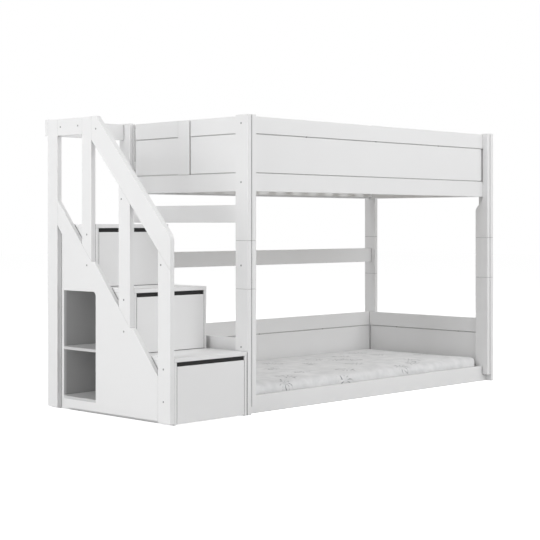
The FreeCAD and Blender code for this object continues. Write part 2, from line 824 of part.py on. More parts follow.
def step_edge(number):
    """Front edge of a step, counted from 0 at the lowest."""
    return step_front + step_going * number


def step_level(number):
    """Upper face of a step's tread."""
    return step_rise * (number + 1)


def under_rail(y):
    """Height of the handrail's lower edge at a distance y from the bed's front."""
    return handrail_foot + (y - step_front) * rake


newel_edge = step_front + newel_width
step_shoulder = step_level(1) - stringer_drop
landing_shoulder = step_level(2) - stringer_drop
ear_top = step_level(2) + ear_rise


def stair_profile(name, x, thickness, corners):
    """A flat piece cut to an outline in the upright plane along the stairs, as a body."""
    low_y = min((corner[0] for corner in corners), key=lambda size: size.value)
    low_z = min((corner[1] for corner in corners), key=lambda size: size.value)
    corner = (x, low_y, low_z)
    body = new_body(name, corner)
    local = []
    for y, z in corners:
        u = ZERO if y is low_y or y.value == low_y.value else y - low_y
        v = ZERO if z is low_z or z.value == low_z.value else z - low_z
        local.append((u, v))
    solid = pad(body, outline(body, "YZ_Plane", local), thickness)
    return body, solid, corner


def stair_cheek(name, x):
    """A stepped side of the stair box."""
    back = stair_back - back_panel
    corners = [
        (step_edge(0), ZERO),
        (back, ZERO),
        (back, step_level(2) - tread_thick),
        (step_edge(2), step_level(2) - tread_thick),
        (step_edge(2), step_level(1) - tread_thick),
        (step_edge(1), step_level(1) - tread_thick),
        (step_edge(1), step_level(0) - tread_thick),
        (step_edge(0), step_level(0) - tread_thick),
    ]
    body, solid, corner = stair_profile(name, x, cheek, corners)
    ease_faces(body, solid, 0)
    return body, corner


bay_top = step_level(1) - tread_thick - ease_radius
left_cheek, left_cheek_corner = stair_cheek("stair_left_cheek", unit_left)
body_box(left_cheek, "SubtractiveBox", (ZERO, bay_front - left_cheek_corner[1], bay_foot),
         (cheek, bay_wall - left_cheek_corner[1], bay_top))
sub_part(left_cheek, "stair_left_cheek")
right_cheek, _ = stair_cheek("stair_right_cheek", cheek_right)
sub_part(right_cheek, "stair_right_cheek")


def tread(name, number, back):
    """A tread that covers both cheeks in front and runs on between them as a deck behind."""
    front = step_edge(number)
    width = unit_right - unit_left
    corner = (unit_left, front, step_level(number) - tread_thick)
    body = new_body(name, corner)
    depth = back - front
    corners = [
        (ZERO, ZERO),
        (width, ZERO),
        (width, step_going),
        (width - cheek, step_going),
        (width - cheek, depth),
        (cheek, depth),
        (cheek, step_going),
        (ZERO, step_going),
    ]
    solid = pad(body, outline(body, "XY_Plane", corners), tread_thick)
    ease_faces(body, solid, 2)
    return body


sub_part(tread("lower_tread", 0, partition_face), "lower_tread")
sub_part(tread("middle_tread", 1, stair_back - back_panel), "middle_tread")
sub_part(board_body("landing_tread", (unit_left, step_edge(2), step_level(2) - tread_thick),
                    (unit_right, stair_back, step_level(2))), "landing_tread")

group("stair_inner_panels", [
    block("shelf_partition", (cheek_left, partition_face, ZERO),
          (cheek_right, partition_face + back_panel, step_level(1) - tread_thick)),
    block("bay_wall_panel", (cheek_left, bay_wall, ZERO),
          (cheek_right, bay_wall + back_panel, step_level(1) - tread_thick)),
    block("stair_back_panel", (unit_left, stair_back - back_panel, ZERO),
          (unit_right, stair_back, step_level(2) - tread_thick)),
])


def shelf(name, base):
    """A shelf between the cheeks with a nose that reaches out to the stringer's face."""
    nose_x = stair_face + shelf_recess
    corner = (nose_x, partition_face + back_panel, base)
    body = new_body(name, corner)
    outer = unit_left - nose_x
    inner = cheek_left - nose_x
    depth = bay_wall - corner[1]
    length = cheek_right - nose_x
    nose_front = bay_front - corner[1]
    nose_rear = stringer_rear - corner[1]
    corners = [
        (ZERO, nose_front),
        (inner, nose_front),
        (inner, ZERO),
        (length, ZERO),
        (length, depth),
        (outer, depth),
        (outer, nose_rear),
        (ZERO, nose_rear),
    ]
    pad(body, outline(body, "XY_Plane", corners), shelf_thick)
    return body


group("shelf_boards", [
    shelf("bottom_shelf", bay_foot),
    shelf("middle_shelf", step_level(0) - middle_shelf_drop),
])


def stringer():
    """The outer stair panel: stepped down at each upright, and cut away in front of the shelves."""
    ear_root = step_level(2) - ear_root_drop
    sill_rear = stringer_rear - bay_sill_setback
    corners = [
        (newel_edge, stringer_foot_gap),
        (sill_rear, stringer_foot_gap),
        (sill_rear, bay_foot),
        (bay_front, bay_foot),
        (bay_front, bay_top),
        (stringer_rear, bay_top),
        (stringer_rear, ear_root),
        (rear_post_edge, step_level(2) - ear_foot_drop),
        (rear_post_edge, ear_top),
        (landing_post_edge, landing_shoulder),
        (landing_post_edge - stringer_shoulder, landing_shoulder),
        (step_edge(1), step_shoulder),
        (step_edge(1) - stringer_shoulder, step_shoulder),
        (newel_edge, step_level(0) - nose_drop),
    ]
    body, solid, corner = stair_profile("stair_stringer", stair_face, stringer_thick, corners)
    rounded_places = [
        (landing_post_edge - stringer_shoulder - corner[1], landing_shoulder - corner[2]),
        (step_edge(1) - stringer_shoulder - corner[1], step_shoulder - corner[2]),
    ]
    rounded = round_corners(body, solid, 0, rounded_places, stringer_corner)
    ear_places = [(stringer_rear - corner[1], ear_root - corner[2])]
    rounded = round_corners(body, rounded, 0, ear_places, ear_corner)
    bay_places = [(bay_front - corner[1], bay_top - corner[2])]
    rounded = round_corners(body, rounded, 0, bay_places, bay_corner)
    ease_faces(body, rounded, 0)
    cap_pockets(body, corner, [
        (landing_post_edge + landing_cap_inset, landing_shoulder - shoulder_cap_drop),
        (step_edge(1) + baluster_cap_inset, step_shoulder - shoulder_cap_drop),
    ])
    return body


sub_part(stringer(), "stair_stringer")


def slanted_line(y, low, high):
    """Height at y on the straight line between two (y, z) points."""
    return low[1] + (y - low[0]) * (high[1] - low[1]) / (high[0] - low[0])


def uprights():
    """The four uprights of the balustrade, cut to the stringer below and the handrail above."""
    newel_corners = [
        (step_front, post_foot_gap),
        (newel_edge, post_foot_gap),
        (newel_edge, under_rail(newel_edge)),
        (step_front, under_rail(step_front)),
    ]
    baluster_front = step_edge(1)
    baluster_rear = baluster_front + baluster_width
    slope_top = (landing_post_edge - stringer_shoulder, landing_shoulder)
    slope_foot = (baluster_front, step_shoulder)
    baluster_corners = [
        (baluster_front, step_shoulder),
        (baluster_rear, slanted_line(baluster_rear, slope_foot, slope_top)),
        (baluster_rear, under_rail(baluster_rear)),
        (baluster_front, under_rail(baluster_front)),
    ]
    post_rear = landing_post_edge + landing_post_width
    ear = (rear_post_edge, ear_top)
    landing_corners = [
        (landing_post_edge, landing_shoulder),
        (post_rear, slanted_line(post_rear, (landing_post_edge, landing_shoulder), ear)),
        (post_rear, stair_top),
        (landing_post_edge, stair_top),
    ]
    spots = {
        "newel": [(newel_edge - newel_head_cap_inset, handrail_foot + newel_head_cap_rise),
                  (newel_edge - newel_cap_inset, newel_cap_high),
                  (newel_edge - newel_cap_inset, newel_cap_low)],
        "baluster": [(baluster_front + baluster_head_cap_inset,
                      under_rail(baluster_front) + baluster_head_cap_rise),
                     (baluster_front + baluster_cap_inset, step_shoulder + shoulder_cap_rise)],
        "landing_post": [(landing_post_edge + landing_cap_inset, landing_shoulder + shoulder_cap_rise)],
    }
    outlines = {"newel": newel_corners, "baluster": baluster_corners, "landing_post": landing_corners}
    for name, corners in outlines.items():
        body, solid, corner = stair_profile(name, stair_face, stair_board, corners)
        ease_faces(body, solid, 0)
        cap_pockets(body, corner, spots[name])
        sub_part(body, name)
    corner = (stair_face, rear_post_edge, post_foot_gap)
    sub_part(board_body("stair_rear_post", corner, (unit_left, stair_back, stair_top)), "stair_rear_post")


uprights()


def handrail():
    """The sloping handrail, level at its head and rounded at its foot."""
    head = landing_post_edge
    level_start = head - handrail_level
    corners = [
        (step_front, handrail_foot),
        (head, under_rail(head)),
        (head, stair_top),
        (level_start, stair_top),
        (step_front, handrail_foot + handrail_height),
    ]
    body, solid, corner = stair_profile("handrail", stair_face, stair_board, corners)
    rounded = round_corners(body, solid, 0, [(ZERO, handrail_height)], handrail_nose_radius)
    ease_faces(body, rounded, 0)
    cap_pockets(body, corner, [(head - handrail_cap_inset, stair_top - handrail_cap_drop)])
    return body


sub_part(handrail(), "handrail")

side_board_corner = (stair_face, landing_post_edge + landing_post_width, stair_top - side_board_height)
side_board = board_body("stair_side_top_board", side_board_corner, (unit_left, rear_post_edge, stair_top))
cap_pockets(side_board, side_board_corner, [
    (side_board_corner[1] + side_board_cap_front, stair_top - side_board_cap_drop),
    (rear_post_edge - side_board_cap_rear, stair_top - side_board_cap_drop),
])
sub_part(side_board, "stair_side_top_board")
sub_part(board_body("stair_rear_guard_board", (stair_face, stair_back, upper_guard_top - guard_board_height),
                    (ZERO, stair_back + guard_board_thick, upper_guard_top)), "stair_rear_guard_board")


# Drawers -------------------------------------------------------------------------------------

drawer_left = cheek_left + runner_thick + runner_play
drawer_right = cheek_right - runner_thick - runner_play
runners = []


def drawer(name, number, foot, back):
    """A drawer behind one step: front board, dark grip strip above it, and box on runners."""
    front = step_edge(number)
    ceiling = step_level(number) - tread_thick
    slot = ceiling - grip_height
    face = front + drawer_front_thick
    sub_part(board_body(f"{name}_front", (cheek_left + front_gap, front, foot),
                        (cheek_right - front_gap, face, slot)), f"{name}_front")
    sub_part(block(f"{name}_grip", (cheek_left + front_gap, front + grip_setback, slot),
                   (cheek_right - front_gap, front + grip_setback + grip_thick, ceiling - grip_play)),
             f"{name}_grip")
    base = foot + drawer_lift
    floor_top = base + drawer_bottom
    rim = slot - drawer_rim_gap
    rear = back - drawer_back_gap
    group(f"{name}_box", [
        block(f"{name}_bottom", (drawer_left, face, base), (drawer_right, rear, floor_top)),
        block(f"{name}_left_side", (drawer_left, face, floor_top), (drawer_left + drawer_side, rear, rim)),
        block(f"{name}_right_side", (drawer_right - drawer_side, face, floor_top),
              (drawer_right, rear, rim)),
        block(f"{name}_back", (drawer_left + drawer_side, rear - drawer_side, floor_top),
              (drawer_right - drawer_side, rear, rim)),
    ])
    runner_base = base + runner_rise
    for side, x in (("left", cheek_left), ("right", cheek_right - runner_thick)):
        runners.append(block(f"{name}_{side}_runner", (x, face, runner_base),
                             (x + runner_thick, rear, runner_base + runner_height)))


drawer("drawer_lower", 0, drawer_foot_gap, partition_face)
drawer("drawer_middle", 1, step_level(0) + front_gap, partition_face)
drawer("drawer_upper", 2, step_level(1) + front_gap, stair_back - back_panel)
group("drawer_runners", runners)


# Small fittings ------------------------------------------------------------------------------

def bolt_caps():
    """A cap in each pocket, its face just below the board's."""
    members = []
    for number, (x, y, z) in enumerate(caps):
        cap = document.addObject("Part::Cylinder", f"cap_{number + 1}")
        cap.setExpression("Radius", cap_radius.text)
        cap.setExpression("Height", (cap_pocket - cap_sink).text)
        cap.Placement.Rotation = Rotation(Vector(0, 1, 0), 90)
        place(cap, (x + cap_sink, y, z))
        members.append(cap)
    return group("bolt_caps", members)


def guard_pins():
    """Short pins in the shadow gap between a guard's panel and its top board."""
    members = []
    depth = (board - tongue_thick) / 2 - pin_radius
    spacing = (board_right - board_left - pin_end_inset - pin_far_inset) / 2
    for number in range(3):
        x = board_left + pin_end_inset + spacing * number
        members.append(upright_cylinder(f"front_pin_{number + 1}", x, rebate_depth + depth,
                                        upper_panel_top - shadow_gap, pin_radius, shadow_gap))
        members.append(upright_cylinder(f"rear_pin_{number + 1}", x, rear_inner + depth,
                                        lower_panel_top - shadow_gap, pin_radius, shadow_gap))
    end_depth = (end_board - tongue_thick) / 2 - pin_radius
    for number, y in enumerate((post_width + end_pin_inset, rear_inner - end_pin_far_inset)):
        members.append(upright_cylinder(f"end_pin_{number + 1}", end_right_inner + end_depth, y,
                                        lower_panel_top - shadow_gap, pin_radius, shadow_gap))
    return group("guard_pins", members)


bolt_caps()
guard_pins()


# Export --------------------------------------------------------------------------------------

document.recompute()
for item in document.Objects:
    if "Invalid" in item.State or "Error" in item.State:
        raise RuntimeError(f"{item.Label} failed: {item.State}")
os.makedirs("parts", exist_ok=True)
for item in sub_parts:
    shape = item.Shape
    if shape.isNull() or not shape.isValid() or not shape.Solids:
        raise RuntimeError(f"{item.Label} has no valid shape")
    shape.exportStep(f"parts/{item.Label}.step")
    print(f"{item.Label}: {len(shape.Solids)} solid(s), {shape.Volume / 1000:.1f} cm3")
print(f"{len(sub_parts)} sub-parts")
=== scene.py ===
import json
import math

import bpy
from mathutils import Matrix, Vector, noise

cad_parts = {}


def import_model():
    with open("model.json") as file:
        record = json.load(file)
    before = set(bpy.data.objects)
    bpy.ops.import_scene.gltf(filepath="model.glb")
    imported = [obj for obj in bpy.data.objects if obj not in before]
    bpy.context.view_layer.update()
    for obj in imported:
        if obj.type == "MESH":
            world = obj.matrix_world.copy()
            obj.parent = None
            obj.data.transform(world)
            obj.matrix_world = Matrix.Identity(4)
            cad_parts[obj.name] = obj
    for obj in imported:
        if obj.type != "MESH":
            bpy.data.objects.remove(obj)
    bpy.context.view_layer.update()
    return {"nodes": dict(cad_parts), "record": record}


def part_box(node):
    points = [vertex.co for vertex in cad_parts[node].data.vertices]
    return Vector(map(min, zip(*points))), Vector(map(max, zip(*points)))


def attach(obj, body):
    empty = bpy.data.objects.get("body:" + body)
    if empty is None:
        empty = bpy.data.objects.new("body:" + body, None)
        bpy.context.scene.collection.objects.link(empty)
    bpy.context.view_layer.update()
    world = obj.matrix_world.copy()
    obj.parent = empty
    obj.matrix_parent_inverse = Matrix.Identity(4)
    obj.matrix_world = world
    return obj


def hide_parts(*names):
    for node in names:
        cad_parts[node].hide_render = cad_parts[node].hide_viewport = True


# Bunk bed with storage stairs: finishes, mattress, studio and camera. Metres throughout.

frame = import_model()
nodes = frame["nodes"]
slot_of = {part["node"]: part["material_slot"] for part in frame["record"]["subparts"]}
scene = bpy.context.scene


# Shader helpers ------------------------------------------------------------------------------

# The colour mixer's sockets by number, because its sockets for numbers have the same names.
MIX_FACTOR = 0
MIX_FIRST = 6
MIX_SECOND = 7
MIX_RESULT = 2


class Shader:
    """A material's node tree with short calls to add nodes and links."""

    def __init__(self, name):
        self.material = bpy.data.materials.new(name)
        self.material.use_nodes = True
        self.tree = self.material.node_tree
        self.tree.nodes.clear()
        self.surface = self.add("ShaderNodeBsdfPrincipled")
        output = self.add("ShaderNodeOutputMaterial")
        self.link(self.surface, "BSDF", output, "Surface")

    def add(self, kind, **settings):
        node = self.tree.nodes.new(kind)
        for name, value in settings.items():
            setattr(node, name, value)
        return node

    def link(self, source, output, target, socket):
        self.tree.links.new(source.outputs[output], target.inputs[socket])

    def set(self, **values):
        for name, value in values.items():
            self.surface.inputs[name.replace("_", " ")].default_value = value

    def own_coordinates(self):
        """The three parts of the object's own coordinates."""
        coordinates = self.add("ShaderNodeTexCoord")
        apart = self.add("ShaderNodeSeparateXYZ")
        self.link(coordinates, "Object", apart, "Vector")
        return apart

    def noise(self, scale, detail=3.0, stretch=(1.0, 1.0, 1.0)):
        """Noise over the object's own coordinates."""
        mapping = self.add("ShaderNodeMapping")
        mapping.inputs["Scale"].default_value = stretch
        coordinates = self.add("ShaderNodeTexCoord")
        self.link(coordinates, "Object", mapping, "Vector")
        texture = self.add("ShaderNodeTexNoise")
        texture.inputs["Scale"].default_value = scale
        texture.inputs["Detail"].default_value = detail
        self.link(mapping, "Vector", texture, "Vector")
        return texture

    def ramp(self, source, output, low, high, low_value, high_value):
        """Map a value from one range to another."""
        mapper = self.add("ShaderNodeMapRange")
        mapper.inputs["From Min"].default_value = low
        mapper.inputs["From Max"].default_value = high
        mapper.inputs["To Min"].default_value = low_value
        mapper.inputs["To Max"].default_value = high_value
        self.link(source, output, mapper, "Value")
        return mapper

    def math(self, operation, first, second=None):
        """A maths node; each operand is a number, another maths node or a (node, output) pair."""
        node = self.add("ShaderNodeMath", operation=operation)
        for number, operand in enumerate((first, second)):
            if isinstance(operand, bpy.types.Node):
                self.link(operand, "Value", node, number)
            elif isinstance(operand, tuple):
                self.link(*operand, node, number)
            elif operand is not None:
                node.inputs[number].default_value = operand
        return node

    def blend(self, factor, output, first, second):
        """Mix two colours, each given as a colour or as another mixer."""
        mixer = self.add("ShaderNodeMix", data_type="RGBA")
        self.link(factor, output, mixer, MIX_FACTOR)
        for socket, colour in ((MIX_FIRST, first), (MIX_SECOND, second)):
            if isinstance(colour, bpy.types.Node):
                self.link(colour, MIX_RESULT, mixer, socket)
            else:
                mixer.inputs[socket].default_value = (*colour, 1.0)
        return mixer

    def paint(self, colour, output=MIX_RESULT):
        self.link(colour, output, self.surface, "Base Color")

    def lines_at(self, heights, width):
        """Level lines round an object at the given heights."""
        apart = self.own_coordinates()
        drawn = self.math("ADD", 0.0, 0.0)
        for height in heights:
            away = self.math("ABSOLUTE", self.math("SUBTRACT", (apart, "Z"), height))
            line = self.ramp(away, "Value", width, width / 2, 0.0, 1.0)
            drawn = self.math("MAXIMUM", drawn, (line, "Result"))
        return drawn

    def paint_seam_shade(self, colour):
        """Paint shade into the surface's colour where boards meet: an ambient occlusion node
        darkens it in crevices, as painted shade.
        """
        seams = self.add("ShaderNodeAmbientOcclusion", samples=SEAM_SHADE_SAMPLES)
        seams.inputs["Distance"].default_value = SEAM_SHADE_REACH
        shade = self.ramp(seams, "AO", SEAM_SHADE_CLOSED, SEAM_SHADE_OPEN, SEAM_SHADE_TONE, 1.0)
        product = self.add("ShaderNodeVectorMath", operation="SCALE")
        self.link(colour, MIX_RESULT, product, 0)
        self.link(shade, "Result", product, "Scale")
        self.paint(product, "Vector")

    def bump(self, height, output, strength, distance):
        node = self.add("ShaderNodeBump")
        node.inputs["Strength"].default_value = strength
        node.inputs["Distance"].default_value = distance
        self.link(height, output, node, "Height")
        self.link(node, "Normal", self.surface, "Normal")


# Materials -----------------------------------------------------------------------------------

# painted shade in seams and crevices: ambient occlusion samples, its reach, and how far it
# darkens the colour
SEAM_SHADE_SAMPLES = 8
SEAM_SHADE_REACH = 0.008
SEAM_SHADE_CLOSED = 0.15
SEAM_SHADE_OPEN = 0.75
SEAM_SHADE_TONE = 0.25
LACQUER_LIGHT = (0.795, 0.795, 0.795)
LACQUER_SHADE = (0.775, 0.775, 0.777)
# a darker copy of the white lacquer for the inner boards of the stairs: painted shade
SHADED_INNER_PALE = (0.56, 0.56, 0.56)
SHADED_INNER_DEEP = (0.53, 0.53, 0.532)
SHADED_INNER_NODES = ("stair_inner_panels", "shelf_boards")
JOINT_COLOUR = (0.30, 0.30, 0.30)
JOINT_LINE = 0.0011


def lacquer(name, shade, light, joints=()):
    """Satin white lacquer: faint orange peel, slow changes of tone and gloss, hairline joints,
    and painted shade where boards meet.
    """
    shader = Shader(name)
    tone = shader.noise(2.2, 2.0)
    colour = shader.blend(tone, "Fac", shade, light)
    if joints:
        drawn = shader.lines_at(joints, JOINT_LINE)
        colour = shader.blend(drawn, "Value", colour, JOINT_COLOUR)
    # painted shade: the colour is darkened where boards meet and in crevices
    shader.paint_seam_shade(colour)
    gloss = shader.noise(9.0, 4.0)
    roughness = shader.ramp(gloss, "Fac", 0.3, 0.7, 0.38, 0.46)
    shader.link(roughness, "Result", shader.surface, "Roughness")
    peel = shader.noise(900.0, 2.0)
    shader.bump(peel, "Fac", 0.06, 0.0004)
    shader.set(Specular_IOR_Level=0.4)
    return shader.material


def slat_wood():
    """Bare pale softwood with grain along the slats."""
    shader = Shader("slat_wood")
    grain = shader.noise(14.0, 6.0, (26.0, 1.6, 26.0))
    shader.paint(shader.blend(grain, "Fac", (0.56, 0.50, 0.42), (0.70, 0.65, 0.57)))
    shader.bump(grain, "Fac", 0.15, 0.0006)
    shader.set(Roughness=0.62)
    return shader.material


def black_grip():
    """Matt black moulded strip with a fine grain."""
    shader = Shader("black_grip")
    grain = shader.noise(700.0, 2.0)
    shader.paint(shader.blend(grain, "Fac", (0.006, 0.006, 0.006), (0.012, 0.012, 0.012)))
    shader.bump(grain, "Fac", 0.2, 0.0003)
    shader.set(Roughness=0.6, Specular_IOR_Level=0.25)
    return shader.material


def brushed_metal(name, dark, light, roughness):
    """Metal with fine brush lines."""
    shader = Shader(name)
    lines = shader.noise(60.0, 5.0, (1.0, 1.0, 30.0))
    shader.paint(shader.blend(lines, "Fac", dark, light))
    shader.bump(lines, "Fac", 0.1, 0.0002)
    shader.set(Metallic=1.0, Roughness=roughness)
    return shader.material


def cap_grey():
    """Matt grey plastic of the bolt caps."""
    shader = Shader("cap_grey")
    grain = shader.noise(400.0, 2.0)
    shader.paint(shader.blend(grain, "Fac", (0.22, 0.22, 0.22), (0.30, 0.30, 0.30)))
    shader.bump(grain, "Fac", 0.1, 0.0003)
    shader.set(Roughness=0.5)
    return shader.material


COVER_PALE = (0.82, 0.82, 0.825)
COVER_SHADE = (0.67, 0.675, 0.68)
COVER_PRINT = (0.28, 0.285, 0.295)
SPRIG_SPACING = 0.25
SPRIG_SCATTER = 0.85
SPRIG_RADIUS = 0.09
SPRIG_CORE = 0.6
SPRIG_LEAVES = 9.0
SPRIG_TWIST = 130.0
LEAF_NARROWING = 0.7
WEAVE_SHARE = 0.08
CREASE_STRENGTH = 0.45
CREASE_HEIGHT = 0.004


def sprig_print(shader):
    """1 on the lines of a print of scattered sprigs, each turned its own way, and 0 between."""
    apart = shader.own_coordinates()
    flat = shader.add("ShaderNodeCombineXYZ")
    shader.link(apart, "X", flat, "X")
    shader.link(shader.math("ADD", (apart, "Y"), (apart, "Z")), "Value", flat, "Y")
    cells = shader.add("ShaderNodeTexVoronoi", voronoi_dimensions="2D")
    cells.inputs["Scale"].default_value = 1 / SPRIG_SPACING
    cells.inputs["Randomness"].default_value = SPRIG_SCATTER
    shader.link(flat, "Vector", cells, "Vector")

    # place within the sprig: its distance and direction from the middle, folded on the stem
    local = shader.add("ShaderNodeVectorMath", operation="SUBTRACT")
    shader.link(flat, "Vector", local, 0)
    shader.link(cells, "Position", local, 1)
    distance = shader.add("ShaderNodeVectorMath", operation="LENGTH")
    shader.link(local, "Vector", distance, 0)
    sides = shader.add("ShaderNodeSeparateXYZ")
    shader.link(local, "Vector", sides, "Vector")
    angle = shader.math("ARCTAN2", (sides, "Y"), (sides, "X"))
    picked = shader.add("ShaderNodeSeparateColor")
    shader.link(cells, "Color", picked, "Color")
    heading = shader.math("MULTIPLY", (picked, "Red"), 2 * math.pi)
    folded = shader.math("PINGPONG", shader.math("ADD", angle, heading), math.pi)

    # veins fan out from the middle; the sprig is narrower across its stem
    turn = shader.math("MULTIPLY", distance, SPRIG_TWIST)
    spread = shader.math("MULTIPLY", folded, SPRIG_LEAVES)
    fan = shader.math("SINE", shader.math("ADD", turn, spread))
    veins = shader.ramp(fan, "Value", 0.35, 0.75, 0.0, 1.0)
    side = shader.math("MULTIPLY", shader.math("SINE", folded), LEAF_NARROWING)
    reach = shader.math("MULTIPLY", distance, shader.math("ADD", side, 1.0))
    patch = shader.ramp(reach, "Value", SPRIG_RADIUS, SPRIG_RADIUS * SPRIG_CORE, 0.0, 1.0)
    breaks = shader.ramp(shader.noise(32.0, 2.0), "Fac", 0.40, 0.52, 0.0, 1.0)
    drawn = shader.math("MULTIPLY", (veins, "Result"), (patch, "Result"))
    return shader.math("MULTIPLY", drawn, (breaks, "Result"))


def mattress_cover():
    """Pale knit cover: fine weave, creases, sheen and a sparse print of small grey sprigs."""
    shader = Shader("mattress_cover")
    drawn = sprig_print(shader)
    tone = shader.ramp(shader.noise(16.0, 4.0), "Fac", 0.25, 0.75, 0.0, 1.0)
    cloth = shader.blend(tone, "Result", COVER_SHADE, COVER_PALE)
    shader.paint(shader.blend(drawn, "Value", cloth, COVER_PRINT))
    crease = shader.noise(38.0, 3.0)
    weave = shader.noise(1400.0, 1.0)
    fine = shader.math("MULTIPLY", (weave, "Fac"), WEAVE_SHARE)
    height = shader.math("ADD", (crease, "Fac"), fine)
    shader.bump(height, "Value", CREASE_STRENGTH, CREASE_HEIGHT)
    shader.set(Roughness=0.85, Sheen_Weight=0.15, Sheen_Roughness=0.5, Specular_IOR_Level=0.2)
    return shader.material


materials = {
    "white_lacquer": lacquer("white_lacquer", LACQUER_SHADE, LACQUER_LIGHT),
    "slat_wood": slat_wood(),
    "black_grip": black_grip(),
    "runner_steel": brushed_metal("runner_steel", (0.42, 0.43, 0.45), (0.62, 0.63, 0.65), 0.38),
    "hinge_steel": brushed_metal("hinge_steel", (0.50, 0.50, 0.50), (0.66, 0.66, 0.66), 0.32),
    "pin_steel": brushed_metal("pin_steel", (0.05, 0.05, 0.05), (0.10, 0.10, 0.10), 0.45),
    "cap_grey": cap_grey(),
    "mattress_cover": mattress_cover(),
}

# the inner boards take a darker copy of the lacquer as painted shade, and the posts show the
# joints above and below their middle blocks
blocks_low, blocks_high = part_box("post_middle_blocks")
post_joints = (blocks_low.z, blocks_high.z)
shaded_inner_lacquer = lacquer("shaded_inner_lacquer", SHADED_INNER_DEEP, SHADED_INNER_PALE)
post_lacquer = lacquer("post_lacquer", LACQUER_SHADE, LACQUER_LIGHT, post_joints)


def finish_of(name):
    # the inner boards get the darker lacquer: painted shade
    if name in SHADED_INNER_NODES:
        return shaded_inner_lacquer
    if name.startswith("post_"):
        return post_lacquer
    return materials[slot_of[name]]


for name, thing in nodes.items():
    thing.data.materials.clear()
    thing.data.materials.append(finish_of(name))


# Mattress ------------------------------------------------------------------------------------

MATTRESS_LOW, MATTRESS_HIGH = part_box("lower_mattress")
PAD_INSET = 0.006
PAD_VOXEL = 0.012
PAD_TRAVEL = 0.0065
PAD_EASE = 0.018
PAD_PRESSURE = 4.0
FIRST_FRAME = 1
LAST_FRAME = 20
SEAM_DROP = 0.024
SEAM_HEIGHTS = (MATTRESS_LOW.z + SEAM_DROP, MATTRESS_HIGH.z - PAD_INSET - SEAM_DROP)
SEAM_DEPTH = 0.0008
SEAM_WIDTH = 0.006
# half height of the rows of vertices that are held, as shares of a voxel
FOOT_ROW = 0.5
SEAM_ROW = 0.6
# how far a normal has to lean out, or up, to count as the side or the top
SIDE_FACING = 0.3
TOP_FACING = 0.2
# slow swells and short ripples of the top: height, waves per metre along and across, noise slice
SWELL = (0.0026, 3.4, 4.2, 0.7)
RIPPLE = (0.0009, 13.0, 17.0, 5.3)
TOP_DROP = 0.0028


def shrink(mesh, low, high, inset):
    """Draw a mesh in from its sides and top, keeping its foot where it is."""
    middle = (low + high) / 2
    for vertex in mesh.vertices:
        place = vertex.co
        for axis in (0, 1):
            half = (high[axis] - low[axis]) / 2
            place[axis] = middle[axis] + (place[axis] - middle[axis]) * (half - inset) / half
        place.z = low.z + (place.z - low.z) * (high.z - low.z - inset) / (high.z - low.z)


def apply_modifiers(thing):
    bpy.context.view_layer.update()
    evaluated = thing.evaluated_get(bpy.context.evaluated_depsgraph_get())
    old = thing.data
    thing.data = bpy.data.meshes.new_from_object(evaluated)
    thing.modifiers.clear()
    bpy.data.meshes.remove(old)


def even_mesh(thing, voxel):
    """Replace a mesh by an even voxel remesh of itself."""
    remesh = thing.modifiers.new("Even", "REMESH")
    remesh.mode = "VOXEL"
    remesh.voxel_size = voxel
    remesh.use_smooth_shade = True
    apply_modifiers(thing)


def hold(thing, places):
    """Put the rows of vertices at the foot and the two seams in a group of their own."""
    held = thing.vertex_groups.new(name="held")
    for number, place in enumerate(places):
        on_foot = place.z < MATTRESS_LOW.z + PAD_VOXEL * FOOT_ROW
        on_seam = min(abs(place.z - height) for height in SEAM_HEIGHTS) < PAD_VOXEL * SEAM_ROW
        if on_foot or on_seam:
            held.add([number], 1.0, "REPLACE")


def inflate(thing):
    """Swell the cover by cloth simulation, then ease its moves down to a few millimetres."""
    start = [vertex.co.copy() for vertex in thing.data.vertices]
    hold(thing, start)
    cloth = thing.modifiers.new("Cover", "CLOTH")
    settings = cloth.settings
    settings.quality = 4
    settings.mass = 0.3
    settings.tension_stiffness = 15
    settings.compression_stiffness = 5
    settings.shear_stiffness = 8
    settings.bending_stiffness = 0.4
    settings.use_pressure = True
    settings.uniform_pressure_force = PAD_PRESSURE
    settings.vertex_group_mass = "held"
    settings.effector_weights.gravity = 0
    cloth.collision_settings.use_collision = False
    for frame_number in range(FIRST_FRAME, LAST_FRAME + 1):
        scene.frame_set(frame_number)
    evaluated = thing.evaluated_get(bpy.context.evaluated_depsgraph_get())
    places = [vertex.co.copy() for vertex in evaluated.data.vertices]
    thing.modifiers.clear()
    scene.frame_set(FIRST_FRAME)
    for vertex, before, after in zip(thing.data.vertices, start, places):
        move = after - before
        if move.length > 0:
            move *= PAD_TRAVEL * (1 - math.exp(-move.length / PAD_EASE)) / move.length
        vertex.co = before + move
    thing.vertex_groups.clear()


def waves(place, height, along, across, level):
    """A rise or hollow of the top at a place."""
    return height * noise.noise(Vector((place.x * along, place.y * across, level)))


def dress(mesh):
    """Draw the cover in along its two seams and give the top slow hollows and rises."""
    directions = [vertex.normal.copy() for vertex in mesh.vertices]
    for vertex, direction in zip(mesh.vertices, directions):
        place = vertex.co.copy()
        if direction.xy.length > SIDE_FACING:
            for height in SEAM_HEIGHTS:
                off_seam = (place.z - height) / SEAM_WIDTH
                place -= direction * SEAM_DEPTH * math.exp(-(off_seam ** 2))
        if direction.z > TOP_FACING:
            rise = waves(place, *SWELL) + waves(place, *RIPPLE) - TOP_DROP
            place.z += rise * direction.z
        vertex.co = place


